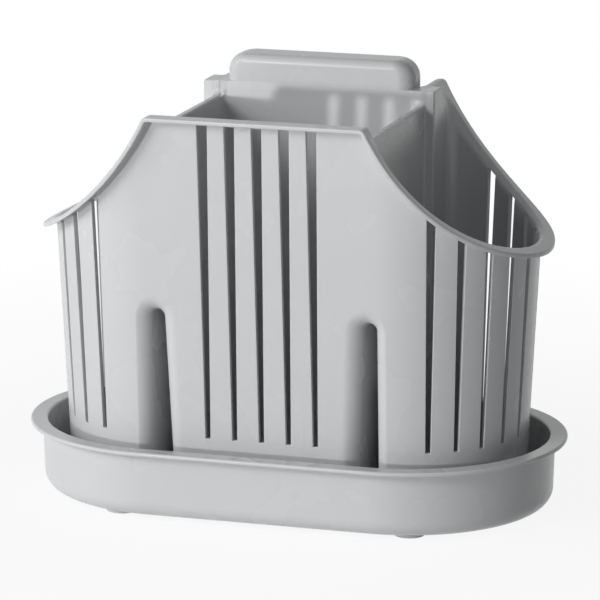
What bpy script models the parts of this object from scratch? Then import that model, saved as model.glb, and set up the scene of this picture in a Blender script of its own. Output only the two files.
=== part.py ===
"""Cutlery holder: a slotted three-cup basket that stands in an oval drip tray on four feet.

Units are metres, +Z is up and the front faces -Y. The origin is on the ground under the
middle of the tray. Driving dimensions come first; everything below is worked out from them.
"""
import math

import bmesh
import bpy

# Drip tray and its feet
TRAY_LENGTH = 0.2150            # over the lip, along X
TRAY_WIDTH = 0.1248             # over the lip, along Y
TRAY_HEIGHT = 0.0275            # from its underside to the top of the lip
TRAY_WALL = 0.0020
TRAY_LIP_OVERHANG = 0.0048      # how far the lip stands out from the wall
TRAY_LIP_THICKNESS = 0.0015
TRAY_LIP_ROUND = 0.0010         # rounding of the lip's outer top edge
TRAY_MOUTH_FLARE = 0.0009       # rounding where the lip turns down inside
TRAY_BOTTOM_ROUND = 0.0066      # outer rounding between wall and bottom
TRAY_DRAFT = 0.02               # wall lean, run over rise
FOOT_RADIUS = 0.0060
FOOT_HEIGHT = 0.0012
FOOT_EDGE_ROUND = 0.0004
FOOT_INSET_X = 0.0493           # foot centre to the lip's end
FOOT_INSET_Y = 0.0196           # foot centre to the lip's side
SEAT_GAP = 0.0003               # clearance between pieces that rest on each other

# Basket, outer wall
BASKET_SIDE_INSET = 0.01776     # lip's side to the basket's wall at its foot
BASKET_END_INSET = 0.01636      # lip's end to the basket's wall at its foot
BASKET_HEIGHT = 0.1549          # from its underside to the level part of the rim
WALL = 0.0020
WALL_DRAFT = 0.05               # the outer wall leans out, run over rise
BASE_ROUND = 0.0040             # rounding under the wall's foot
FLOOR = 0.0020

# Basket, rim and flange
PLATEAU_HALF = 0.0435           # half of the level part of the rim
SHOULDER_ROUND = 0.0025         # rounding where the rim starts to drop
SWOOP_RADIUS = 0.1043           # the rim drops along this arc
SWOOP_START_ANGLE = 64.3        # degrees below level at the top of the arc
SWOOP_END_ANGLE = 24.1          # degrees below level at its foot, and straight on from there
FLANGE_WIDTH = 0.0054           # how far the flange stands out from the wall
FLANGE_THICKNESS = 0.00165
PLATEAU_BEND = 0.0008           # the inner wall bends out into the level part of the rim
END_BEND = 0.0038               # and, with a larger radius, into its ends
BEND_BLEND = 0.0148             # the one radius grows into the other while the rim drops by this
BEND_LAST_ANGLE = 65            # degrees turned where the bend meets the rim
BEND_OVERSHOOT = 0.0002         # the cups' cutters keep that direction this far above the rim
EAR_END = 0.0390                # beside the recess the rim is level out to the end cup, up to here
EAR_RAMP = 0.0030               # and then drops to the arc within this length

# Basket, cups
MIDDLE_CUP_HALF = 0.0400        # inside, at the partitions' tops
MIDDLE_CUP_DRAFT = 0.038
MIDDLE_CUP_BACK = 0.0275        # inner face of the back wall at the rim
BACK_DRAFT = 0.03
MIDDLE_CUP_BACK_ROUND = 0.0028  # upright corners at the back
CUP_FRONT_ROUND = 0.0040        # upright corners beside the tunnels
CUP_UPPER_ROUND = 0.0010        # the same corners above the tunnels
CUP_SIDE_ROUND = 0.0040         # upright corners between the end cups' walls and the recess
PARTITION_THICKNESS = 0.0034    # at its top
PARTITION_DRAFT = 0.0073
PARTITION_DROP = 0.0059         # partition top below the rim
PARTITION_SWEEP = 0.0025        # radius of its rise to the rim at the back
PARTITION_END_INSET = 0.0003    # the lowered top stops this far short of the front and back walls

# Basket, tunnels between the cups and the recess behind the middle cup
TUNNEL_SPRING_HEIGHT = 0.0752   # underside of the basket to where the arch starts
TUNNEL_SPAN = 0.0056            # clear width where the arch starts
TUNNEL_INNER_WALL = 0.00244     # between the middle cup and the tunnel
TUNNEL_MOUTH_ROUND = 0.0060     # rounding from the front wall into the tunnel
TUNNEL_BACK_ROUND = 0.0045      # rounding of the middle cup's back corner in the tunnel
TUNNEL_WALL = 0.0018
TUNNEL_SHOULDER_RISE = 0.0040   # the end cup's wall stands this much higher over the arch
TUNNEL_STEP = 0.0002            # the tunnel's outer wall stands in from the recess's by this
RECESS_CORNER_ROUND = 0.0015
NOTCH_CORNER_ROUND = 0.0070     # the flange's inner corners round the recess
NOTCH_MOUTH_ROUND = 0.0040      # the flange's outer corners at the recess's mouth

# Basket, handle hood over the recess
HOOD_HALF_LENGTH = 0.0384
HOOD_DEPTH = 0.0165
HOOD_RISE = 0.0110              # above the rim
HOOD_DROP = 0.0087              # its skirt below the rim
HOOD_WALL = 0.0020
HOOD_SHOULDER_ROUND = 0.0074    # top corners seen from the front
HOOD_EDGE_ROUND = 0.0031        # top edges seen from the side
HOOD_CORNER_ROUND = 0.0060      # upright corners
HOOD_SETBACK = 0.0001           # behind the cup's inner face
HOOD_LEAST_ROUND = 0.0003       # rounding left in the hollow's corners and edges

# Slots
SLOT_COUNT = 5                  # in the middle of the front wall
SLOT_PITCH = 0.0108
SLOT_FOOT_HEIGHT = 0.0285       # slot's lower end above the basket's underside
SLOT_FOOT_WIDTH = 0.0019
SLOT_TAPER = 0.0178             # slots widen upwards, width over rise
SLOT_TO_FLANGE = 0.0012         # wall left between a slot's top and the flange
END_SLOT_TO_FLANGE = 0.0004     # the same at the ends, where the slots run into the bend
END_SLOT_COUNT = 10             # round each end, half of them to the front
END_SLOT_STEP_ANGLE = 13.9      # degrees from slot to slot
END_SLOT_FIRST_ANGLE = 10.5     # degrees from the basket's long axis to the first
DRAIN_WIDTH = 0.0025            # slots through the cups' floors
DRAIN_MARGIN = 0.0090           # floor left round the drain slots

# Fineness of the curves
OVERRUN = 0.0080                # how far cutters run past what they cut
QUARTER_STEPS = 18              # wall facets in a quarter turn
CUP_STEPS = 32                  # facets round an end cup
BEND_STEPS = 3
SWOOP_STEPS = 12
ROUND_STEPS = 4
TRAY_ROUND_STEPS = 6
EDGE_STEPS = 3
RIM_ROUNDS = 5                  # rounds in which a point of a cup's mouth settles onto the rim
FOOT_STEPS = 32
CORNER_SHARE = 0.45             # most of an edge that one rounded corner may take
SHARP_ANGLE = 30                # degrees, edges sharper than this stay hard in the shading

# Worked out from the sizes above
tray_radius = TRAY_WIDTH / 2
tray_straight = TRAY_LENGTH / 2 - tray_radius
tray_bottom_z = FOOT_HEIGHT + SEAT_GAP
tray_top_z = tray_bottom_z + TRAY_HEIGHT
tray_floor_z = tray_bottom_z + TRAY_WALL
basket_bottom_z = tray_floor_z + SEAT_GAP
basket_floor_z = basket_bottom_z + FLOOR
rim_z = basket_bottom_z + BASKET_HEIGHT
basket_radius = tray_radius - BASKET_SIDE_INSET
basket_straight = TRAY_LENGTH / 2 - BASKET_END_INSET - basket_radius
partition_z = rim_z - PARTITION_DROP
spring_z = basket_bottom_z + TUNNEL_SPRING_HEIGHT
mouth_top_z = spring_z + TUNNEL_SPAN / 2 + TUNNEL_MOUTH_ROUND
over_z = rim_z + HOOD_RISE + OVERRUN


def outer_radius(z):
    """Radius of the basket's round ends, outside, at a height."""
    return basket_radius + (z - basket_bottom_z) * WALL_DRAFT


def inner_radius(z):
    return outer_radius(z) - WALL


def middle_half(z):
    """Half width of the middle cup, inside."""
    return MIDDLE_CUP_HALF - (partition_z - z) * MIDDLE_CUP_DRAFT


def back_face(z):
    """Inner face of the middle cup's back wall."""
    return MIDDLE_CUP_BACK - (rim_z - z) * BACK_DRAFT


def tunnel_inner(z):
    """Tunnel's face on the middle cup's side."""
    return middle_half(z) + TUNNEL_INNER_WALL


# Tunnel's face on the end cup's side, the recess's half length and the end cup's face beside it
tunnel_outer = tunnel_inner(spring_z) + TUNNEL_SPAN
recess_half = tunnel_outer + TUNNEL_STEP
end_cup_face = recess_half + WALL
ear_edge = end_cup_face + WALL / 2


def partition_outer(z):
    """Partition's face on the end cup's side."""
    return MIDDLE_CUP_HALF + PARTITION_THICKNESS + (partition_z - z) * PARTITION_DRAFT


def arc(centre, radius, start, end, steps):
    """Points along an arc, angles in degrees, both ends included."""
    points = []
    for i in range(steps + 1):
        angle = math.radians(start + (end - start) * i / steps)
        points.append((centre[0] + radius * math.cos(angle), centre[1] + radius * math.sin(angle)))
    return points


def stadium(straight, radius, steps=QUARTER_STEPS):
    """A rectangle with two half-round ends, anticlockwise."""
    right = arc((straight, 0), radius, -90, 90, 2 * steps)
    left = arc((-straight, 0), radius, 90, 270, 2 * steps)
    return right + left


def rounded(corners, steps=ROUND_STEPS):
    """An outline from (x, y, rounding) corners. A rounding is limited by the edges beside it."""
    points = []
    count = len(corners)
    for i, (x, y, radius) in enumerate(corners):
        if radius == 0:
            points.append((x, y))
            continue
        before = corners[i - 1]
        after = corners[(i + 1) % count]
        ax, ay = before[0] - x, before[1] - y
        bx, by = after[0] - x, after[1] - y
        a_length = math.hypot(ax, ay)
        b_length = math.hypot(bx, by)
        ax, ay, bx, by = ax / a_length, ay / a_length, bx / b_length, by / b_length
        half = math.acos(max(-1, min(1, ax * bx + ay * by))) / 2
        reach = min(radius / math.tan(half), a_length * CORNER_SHARE, b_length * CORNER_SHARE)
        radius = reach * math.tan(half)
        middle = radius / math.sin(half)
        mx, my = ax + bx, ay + by
        m_length = math.hypot(mx, my)
        cx, cy = x + mx / m_length * middle, y + my / m_length * middle
        start = math.atan2(y + ay * reach - cy, x + ax * reach - cx)
        end = math.atan2(y + by * reach - cy, x + bx * reach - cx)
        turn = (end - start + math.pi) % (2 * math.pi) - math.pi
        for k in range(steps + 1):
            angle = start + turn * k / steps
            points.append((cx + radius * math.cos(angle), cy + radius * math.sin(angle)))
    return points


def add_object(name, bm, material):
    bmesh.ops.recalc_face_normals(bm, faces=bm.faces)
    mesh = bpy.data.meshes.new(name)
    bm.to_mesh(mesh)
    bm.free()
    obj = bpy.data.objects.new(name, mesh)
    bpy.context.scene.collection.objects.link(obj)
    if material:
        mesh.materials.append(material)
    return obj


def add_loft(bm, rings):
    """Add a closed body through rings of equally many 3-D points."""
    loops = [[bm.verts.new(p) for p in ring] for ring in rings]
    count = len(loops[0])
    for lower, upper in zip(loops, loops[1:]):
        for i in range(count):
            j = (i + 1) % count
            bm.faces.new((lower[i], lower[j], upper[j], upper[i]))
    bm.faces.new(list(reversed(loops[0])))
    bm.faces.new(loops[-1])


def add_prism_along_y(bm, outline, y_start, y_end):
    """Add an XZ outline, extruded along Y."""
    rings = [[(x, y, z) for x, z in outline] for y in (y_start, y_end)]
    add_loft(bm, rings)


def level_ring(outline, z):
    return [(x, y, z) for x, y in outline]


def make_cutter(name, bm):
    cutter = add_object(name, bm, None)
    cutter.hide_render = True
    cutter.display_type = 'WIRE'
    return cutter


def apply_boolean(obj, name, cutter, operation):
    modifier = obj.modifiers.new(name, 'BOOLEAN')
    modifier.object = cutter
    modifier.operation = operation
    modifier.solver = 'EXACT'


def moulded_plastic(name, colour, roughness):
    material = bpy.data.materials.new(name)
    material.use_nodes = True
    shader = material.node_tree.nodes['Principled BSDF']
    shader.inputs['Base Color'].default_value = (*colour, 1)
    shader.inputs['Roughness'].default_value = roughness
    shader.inputs['Metallic'].default_value = 0
    return material


def shade_round(obj):
    obj.data.shade_smooth()
    obj.data.set_sharp_from_angle(angle=math.radians(SHARP_ANGLE))


def shade_round_after_cuts(obj):
    """Smooth shading that keeps hard edges, worked out after the object's Booleans."""
    tree = bpy.data.node_groups.new('smooth_by_angle', 'GeometryNodeTree')
    tree.interface.new_socket('Geometry', in_out='INPUT', socket_type='NodeSocketGeometry')
    tree.interface.new_socket('Geometry', in_out='OUTPUT', socket_type='NodeSocketGeometry')
    entry = tree.nodes.new('NodeGroupInput')
    leave = tree.nodes.new('NodeGroupOutput')
    angle = tree.nodes.new('GeometryNodeInputMeshEdgeAngle')
    compare = tree.nodes.new('FunctionNodeCompare')
    compare.data_type = 'FLOAT'
    compare.operation = 'LESS_EQUAL'
    compare.inputs['B'].default_value = math.radians(SHARP_ANGLE)
    faces = tree.nodes.new('GeometryNodeSetShadeSmooth')
    faces.domain = 'FACE'
    edges = tree.nodes.new('GeometryNodeSetShadeSmooth')
    edges.domain = 'EDGE'
    tree.links.new(entry.outputs['Geometry'], faces.inputs['Geometry'])
    tree.links.new(faces.outputs['Geometry'], edges.inputs['Geometry'])
    tree.links.new(angle.outputs['Unsigned Angle'], compare.inputs['A'])
    tree.links.new(compare.outputs['Result'], edges.inputs['Shade Smooth'])
    tree.links.new(edges.outputs['Geometry'], leave.inputs['Geometry'])
    modifier = obj.modifiers.new('smooth_by_angle', 'NODES')
    modifier.node_group = tree


# Rim
def swoop_point(angle):
    """Point of the rim's arc where it falls at this angle, in degrees."""
    start = math.radians(SWOOP_START_ANGLE)
    here = math.radians(angle)
    x = PLATEAU_HALF + SWOOP_RADIUS * (math.sin(start) - math.sin(here))
    z = rim_z - SWOOP_RADIUS * (math.cos(here) - math.cos(start))
    return x, z


def rim_height(x):
    """Height of the rim above a distance from the middle."""
    x = abs(x)
    if x <= PLATEAU_HALF:
        return rim_z
    foot_x, foot_z = swoop_point(SWOOP_END_ANGLE)
    if x >= foot_x:
        return foot_z - (x - foot_x) * math.tan(math.radians(SWOOP_END_ANGLE))
    sine = math.sin(math.radians(SWOOP_START_ANGLE)) - (x - PLATEAU_HALF) / SWOOP_RADIUS
    return swoop_point(math.degrees(math.asin(sine)))[1]


def rim_slope(x):
    """Angle at which the rim falls there, in radians."""
    x = abs(x)
    if x <= PLATEAU_HALF:
        return 0
    if x >= swoop_point(SWOOP_END_ANGLE)[0]:
        return math.radians(SWOOP_END_ANGLE)
    return math.asin(math.sin(math.radians(SWOOP_START_ANGLE)) - (x - PLATEAU_HALF) / SWOOP_RADIUS)


def rim_curve(depth):
    """Rim from the middle out past its end, as (x, z), lowered square to itself by a depth."""
    line = [(PLATEAU_HALF, rim_z, SHOULDER_ROUND)]
    for i in range(1, SWOOP_STEPS + 1):
        x, z = swoop_point(SWOOP_START_ANGLE + (SWOOP_END_ANGLE - SWOOP_START_ANGLE) * i / SWOOP_STEPS)
        line.append((x, z, 0))
    end_x = TRAY_LENGTH / 2 + OVERRUN
    line.append((end_x, rim_height(end_x), 0))
    points = rounded([(0, rim_z, 0)] + line)
    if depth == 0:
        return points
    lowered = []
    for i, (x, z) in enumerate(points):
        before = points[max(i - 1, 0)]
        after = points[min(i + 1, len(points) - 1)]
        dx, dz = after[0] - before[0], after[1] - before[1]
        length = math.hypot(dx, dz)
        lowered.append((x + dz / length * depth, z - dx / length * depth))
    lowered[0] = (0, rim_z - depth)
    return lowered


def both_sides(right_half):
    """A curve from the middle to the right, continued to the left end."""
    left_half = [(-x, z) for x, z in reversed(right_half[1:])]
    return left_half + right_half


def rim_top(x, y):
    """Height of the rim with the level ears beside the recess."""
    z = rim_height(x)
    if y < back_face(rim_z) - WALL / 2 or abs(x) > ear_edge:
        return z
    share = min(max((y - EAR_END) / EAR_RAMP, 0), 1)
    return rim_z + (z - rim_z) * share


def height_on(curve, x):
    """Height of a curve of (x, z) points there."""
    for (x_before, z_before), (x_after, z_after) in zip(curve, curve[1:]):
        if x_before <= x <= x_after:
            return z_before + (z_after - z_before) * (x - x_before) / (x_after - x_before)
    return curve[-1][1]


def above_rim(bm, depth):
    """All that lies above the rim, or above its copy lowered by a depth."""
    curve = rim_curve(depth)
    past = ear_edge + BEND_OVERSHOOT
    reach = TRAY_WIDTH / 2 + OVERRUN
    top = over_z + OVERRUN
    near = back_face(rim_z) - WALL
    rings = []
    for y, has_ear in ((-reach, False), (near, False), (near + WALL / 2, True), (EAR_END, True),
                       (EAR_END + EAR_RAMP, False), (reach, False)):
        right = [(x, z) for x, z in curve if x < ear_edge] + [(ear_edge, height_on(curve, ear_edge))]
        if has_ear:
            right = [(x, rim_z - depth) for x, z in right]
        right += [(past, height_on(curve, past))] + [(x, z) for x, z in curve if x > past]
        outline = both_sides(right)
        outline += [(outline[-1][0], top), (outline[0][0], top)]
        rings.append([(x, y, z) for x, z in outline])
    add_loft(bm, rings)
    bmesh.ops.triangulate(bm, faces=bm.faces)


# Basket
def wall_blank(bm):
    rings = []
    base_points = arc((0, 0), BASE_ROUND, -90, 0, ROUND_STEPS)
    for x, z in base_points:
        height = basket_bottom_z + BASE_ROUND + z
        radius = outer_radius(height) - BASE_ROUND + x
        rings.append(level_ring(stadium(basket_straight, radius), height))
    rings.append(level_ring(stadium(basket_straight, outer_radius(over_z)), over_z))
    add_loft(bm, rings)


def recess_cutter(bm):
    rings = []
    back = outer_radius(over_z) + FLANGE_WIDTH + OVERRUN
    for z in (basket_bottom_z - OVERRUN, over_z + OVERRUN):
        front = back_face(z) + WALL
        corners = [(-recess_half, back, 0), (-recess_half, front, RECESS_CORNER_ROUND),
                   (recess_half, front, RECESS_CORNER_ROUND), (recess_half, back, 0)]
        rings.append(level_ring(rounded(corners), z))
    add_loft(bm, rings)


def flange_blank(bm):
    low = rim_height(TRAY_LENGTH / 2) - OVERRUN
    rings = []
    for z in (low, over_z + OVERRUN / 2):
        rings.append(level_ring(stadium(basket_straight, outer_radius(z) + FLANGE_WIDTH), z))
    add_loft(bm, rings)


def notch_cutter(bm):
    """The flange's edge round the recess."""
    half = recess_half - FLANGE_WIDTH
    front = back_face(rim_z) + WALL + FLANGE_WIDTH
    mouth = outer_radius(rim_z) + FLANGE_WIDTH
    back = mouth + OVERRUN
    right = [(half, front, NOTCH_CORNER_ROUND), (half, mouth, NOTCH_MOUTH_ROUND),
             (half + NOTCH_MOUTH_ROUND + OVERRUN, mouth, 0),
             (half + NOTCH_MOUTH_ROUND + OVERRUN, back, 0)]
    left = [(-x, y, radius) for x, y, radius in reversed(right)]
    outline = rounded(left + right)
    low = rim_height(TRAY_LENGTH / 2) - OVERRUN - OVERRUN
    add_loft(bm, [level_ring(outline, low), level_ring(outline, over_z + OVERRUN)])


def bend_radius(x, y):
    """Radius of the bend from the inner wall into the rim, there."""
    share = min((rim_z - rim_top(x, y)) / BEND_BLEND, 1)
    return PLATEAU_BEND + (END_BEND - PLATEAU_BEND) * share


def ring_along_rim(outline_at, turned, overshoot):
    """A ring of a cup's mouth where the bend has turned by an angle, in radians. outline_at gives
    the outline at a height and widened by a length."""
    low_z = rim_z - SWOOP_RADIUS
    low, high, wide = outline_at(low_z, 0), outline_at(rim_z, 0), outline_at(rim_z, WALL)
    ring = []
    for a, b, c in zip(low, high, wide):
        x, y, z = b[0], b[1], rim_z
        for _ in range(RIM_ROUNDS):
            depth = bend_radius(x, y) * (1 - math.sin(turned))
            spread = bend_radius(x, y) * (1 - math.cos(turned))
            if overshoot:
                spread += (depth + overshoot) * math.tan(turned)
                depth = -overshoot
            rise = (z - low_z) / (rim_z - low_z)
            x = a[0] + (b[0] - a[0]) * rise + (c[0] - b[0]) * spread / WALL
            y = a[1] + (b[1] - a[1]) * rise + (c[1] - b[1]) * spread / WALL
            z = rim_top(x, y) - depth
        ring.append((x, y, z))
    return ring


def mouth_rings(outline_at):
    """Rings of a cup's mouth, which bends out, meets the rim and goes straight up."""
    last = math.radians(BEND_LAST_ANGLE)
    rings = [ring_along_rim(outline_at, last * i / BEND_STEPS, 0) for i in range(BEND_STEPS + 1)]
    rings.append(ring_along_rim(outline_at, last, BEND_OVERSHOOT))
    rings.append([(x, y, over_z) for x, y, z in rings[-1]])
    return rings


def end_cup_outline(z, face, corner, spread=0):
    """Inside of the right end cup at a height. In front its flat side lies at face, behind the
    step it lies beside the recess. It can be widened everywhere but at face."""
    radius = inner_radius(z) + spread
    side = end_cup_face - spread
    step_y = back_face(z) + spread
    corner_x = face + corner
    corner_y = -math.sqrt((radius - corner) ** 2 - max(0, corner_x - basket_straight) ** 2)
    start = math.degrees(math.atan2(corner_y, max(0, corner_x - basket_straight)))
    back_x = side + CUP_SIDE_ROUND
    back_y = math.sqrt((radius - CUP_SIDE_ROUND) ** 2 - max(0, back_x - basket_straight) ** 2)
    end = math.degrees(math.atan2(back_y, max(0, back_x - basket_straight)))
    points = arc((corner_x, corner_y), corner, -180, start, ROUND_STEPS)
    points += arc((basket_straight, 0), radius, start, end, CUP_STEPS)[1:-1]
    points += arc((back_x, back_y), CUP_SIDE_ROUND, end, 180, ROUND_STEPS)
    ramp_foot = (side, min(EAR_END + EAR_RAMP, back_y - BEND_OVERSHOOT))
    ramp_top = (side, min(EAR_END, back_y - EAR_RAMP))
    return points + [ramp_foot, ramp_top, (side, step_y), (face, step_y)]


def end_cup(bm, side):
    """Hollow of an end cup. Its flat side goes up beside the tunnel, over the arch and up the
    partition."""
    shell = TUNNEL_SPAN / 2 + TUNNEL_WALL
    centre_x = tunnel_inner(spring_z) + TUNNEL_SPAN / 2
    last = math.degrees(math.acos((partition_outer(spring_z + shell) - centre_x) / shell))
    levels = [(basket_floor_z, tunnel_outer + TUNNEL_WALL, CUP_FRONT_ROUND)]
    for x, rise in arc((centre_x, 0), shell, 0, last, ROUND_STEPS):
        levels.append((spring_z + rise * (shell + TUNNEL_SHOULDER_RISE) / shell, x, CUP_FRONT_ROUND))
    z = max(levels[-1][0], mouth_top_z) + TUNNEL_MOUTH_ROUND
    levels.append((z, partition_outer(z), CUP_UPPER_ROUND))
    rings = [level_ring(end_cup_outline(z, face, corner), z) for z, face, corner in levels]
    rings += mouth_rings(lambda z, spread: end_cup_outline(z, partition_outer(z), CUP_UPPER_ROUND, spread))
    if side < 0:
        rings = [[(-x, y, z) for x, y, z in reversed(ring)] for ring in rings]
    add_loft(bm, rings)


def middle_cup_outline(z, corner, spread=0):
    half = middle_half(z)
    front = -inner_radius(z) - spread
    back = back_face(z)
    return rounded([(-half, front, corner), (half, front, corner),
                    (half, back, MIDDLE_CUP_BACK_ROUND), (-half, back, MIDDLE_CUP_BACK_ROUND)])


def middle_cup(bm):
    levels = [(basket_floor_z, CUP_FRONT_ROUND), (mouth_top_z, CUP_FRONT_ROUND),
              (mouth_top_z + TUNNEL_MOUTH_ROUND, CUP_UPPER_ROUND)]
    rings = [level_ring(middle_cup_outline(z, corner), z) for z, corner in levels]
    rings += mouth_rings(lambda z, spread: middle_cup_outline(z, CUP_UPPER_ROUND, spread))
    add_loft(bm, rings)


def arch_outline(inner_offset, outer_offset):
    """Outline of the right tunnel as (x, z), widened on either side."""
    bottom = basket_bottom_z - OVERRUN
    left = tunnel_inner(spring_z) - inner_offset
    right = tunnel_outer + outer_offset
    radius = (right - left) / 2
    outline = [(tunnel_inner(bottom) - inner_offset, bottom), (tunnel_outer + outer_offset, bottom)]
    outline += arc(((left + right) / 2, spring_z), radius, 0, 180, 2 * ROUND_STEPS)
    return outline


def tunnel_cutter(bm, side):
    """The tunnel with its mouth rounded into the front wall and, at the back, round the corner
    of the middle cup."""
    rings = []

    def front_ring(depth, offset):
        return [(x, depth - outer_radius(z), z) for x, z in arch_outline(offset, offset)]

    def back_ring(depth, offset):
        return [(x, back_face(z) + WALL - depth, z) for x, z in arch_outline(offset, 0)]

    rings.append(front_ring(-OVERRUN, TUNNEL_MOUTH_ROUND))
    for x, y in arc((0, 0), TUNNEL_MOUTH_ROUND, 0, 90, ROUND_STEPS):
        rings.append(front_ring(TUNNEL_MOUTH_ROUND - x, TUNNEL_MOUTH_ROUND - y))
    for x, y in arc((0, 0), TUNNEL_BACK_ROUND, 90, 0, ROUND_STEPS):
        rings.append(back_ring(TUNNEL_BACK_ROUND - x, TUNNEL_BACK_ROUND - y))
    rings.append(back_ring(-WALL, TUNNEL_BACK_ROUND))
    if side < 0:
        rings = [[(-x, y, z) for x, y, z in reversed(ring)] for ring in rings]
    add_loft(bm, rings)


def partition_cutter(bm, side):
    """Lowers a partition's top below the rim, with a sweep up to the rim at the back."""
    front = PARTITION_END_INSET - inner_radius(rim_z)
    back = back_face(rim_z) - PARTITION_END_INSET
    centre = (back - PARTITION_SWEEP, partition_z + PARTITION_SWEEP)
    curve = arc(centre, PARTITION_SWEEP, -90, 0, 2 * ROUND_STEPS)
    top = max(rim_z, partition_z + PARTITION_SWEEP) + OVERRUN
    outline = [(front, partition_z)] + curve + [(back, top), (front, top)]
    near = middle_half(rim_z) - MIDDLE_CUP_BACK_ROUND - CUP_UPPER_ROUND
    far = partition_outer(partition_z) + CUP_UPPER_ROUND + CUP_UPPER_ROUND
    rings = [[(side * x, y, z) for y, z in outline] for x in (near, far)]
    add_loft(bm, rings)


def slot_width(z):
    return SLOT_FOOT_WIDTH + (z - basket_bottom_z - SLOT_FOOT_HEIGHT) * SLOT_TAPER


def front_slots(bm):
    low = basket_bottom_z + SLOT_FOOT_HEIGHT
    high = rim_z - FLANGE_THICKNESS - SLOT_TO_FLANGE
    y_start = -outer_radius(high) - OVERRUN
    y_end = -inner_radius(low) + OVERRUN
    for i in range(SLOT_COUNT):
        x = (i - (SLOT_COUNT - 1) / 2) * SLOT_PITCH
        outline = [(x - slot_width(low) / 2, low), (x + slot_width(low) / 2, low),
                   (x + slot_width(high) / 2, high), (x - slot_width(high) / 2, high)]
        add_prism_along_y(bm, outline, y_start, y_end)


def end_slots(bm, side):
    """Slots fanned round an end. Each stops below the flange, which falls with the rim."""
    low = basket_bottom_z + SLOT_FOOT_HEIGHT
    near = inner_radius(low) - OVERRUN / 2
    for i in range(END_SLOT_COUNT):
        rank = i % (END_SLOT_COUNT // 2)
        turn = 1 if i < END_SLOT_COUNT // 2 else -1
        angle = turn * math.radians(END_SLOT_FIRST_ANGLE + rank * END_SLOT_STEP_ANGLE)
        out = (math.cos(angle), math.sin(angle))
        across = (-out[1], out[0])
        middle_x = basket_straight + inner_radius(low) * out[0]
        top = rim_height(middle_x) - FLANGE_THICKNESS - END_SLOT_TO_FLANGE
        far = outer_radius(top) + OVERRUN / 2
        lower, upper = [], []
        for reach, hand in ((near, -1), (far, -1), (far, 1), (near, 1)):
            x = basket_straight + out[0] * reach + across[0] * hand * slot_width(low) / 2
            y = out[1] * reach + across[1] * hand * slot_width(low) / 2
            lower.append((x, y, low))
            x = basket_straight + out[0] * reach + across[0] * hand * slot_width(top) / 2
            y = out[1] * reach + across[1] * hand * slot_width(top) / 2
            drop = (FLANGE_THICKNESS + END_SLOT_TO_FLANGE) / math.cos(rim_slope(x))
            upper.append((x, y, rim_height(x) - drop))
        rings = [lower, upper]
        if side < 0:
            rings = [[(-x, y, z) for x, y, z in reversed(ring)] for ring in rings]
        add_loft(bm, rings)


def drain_slots(bm):
    """Slots through the floors of the three cups."""
    low = basket_bottom_z - OVERRUN / 2
    high = basket_floor_z + OVERRUN / 2
    floor_radius = inner_radius(basket_floor_z)
    runs = []
    for i in range(SLOT_COUNT):
        x = (i - (SLOT_COUNT - 1) / 2) * SLOT_PITCH
        runs.append((x, DRAIN_MARGIN - floor_radius, back_face(basket_floor_z) - DRAIN_MARGIN))
    x = end_cup_face + DRAIN_MARGIN
    while x < basket_straight + floor_radius - DRAIN_MARGIN:
        across = x - basket_straight
        half = math.sqrt(floor_radius ** 2 - max(0, across) ** 2) - DRAIN_MARGIN
        if half > DRAIN_MARGIN:
            runs.append((x, -half, half))
            runs.append((-x, -half, half))
        x += SLOT_PITCH
    for x, y_start, y_end in runs:
        left, right = x - DRAIN_WIDTH / 2, x + DRAIN_WIDTH / 2
        outline = [(left, y_start), (right, y_start), (right, y_end), (left, y_end)]
        add_loft(bm, [level_ring(outline, low), level_ring(outline, high)])


def hood_rings(inset, bottom):
    """Rings of the handle hood's outside, or of its hollow with an inset."""
    front = back_face(rim_z) + HOOD_SETBACK
    top = rim_z + HOOD_RISE - inset
    shoulder = HOOD_SHOULDER_ROUND - inset
    edge = max(HOOD_EDGE_ROUND - inset, HOOD_LEAST_ROUND)
    corner = HOOD_CORNER_ROUND - inset
    rings = []
    levels = [(0, bottom)] + arc((0, top - shoulder), shoulder, 0, 90, 2 * ROUND_STEPS)
    for i, (x, z) in enumerate(levels):
        side_inset = 0 if i == 0 else shoulder - x
        rise = max(0, z - (top - edge))
        edge_inset = edge - math.sqrt(max(0, edge ** 2 - rise ** 2))
        half = HOOD_HALF_LENGTH - inset - side_inset
        y_front = front + inset + edge_inset
        y_back = front + HOOD_DEPTH - inset - edge_inset
        ring_corner = max(corner - edge_inset, HOOD_LEAST_ROUND)
        corners = [(-half, y_front, ring_corner), (half, y_front, ring_corner),
                   (half, y_back, ring_corner), (-half, y_back, ring_corner)]
        rings.append(level_ring(rounded(corners), z))
    return rings


def build_cutter(name, *fillers):
    bm = bmesh.new()
    for filler in fillers:
        filler(bm)
    return make_cutter(name, bm)


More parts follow.
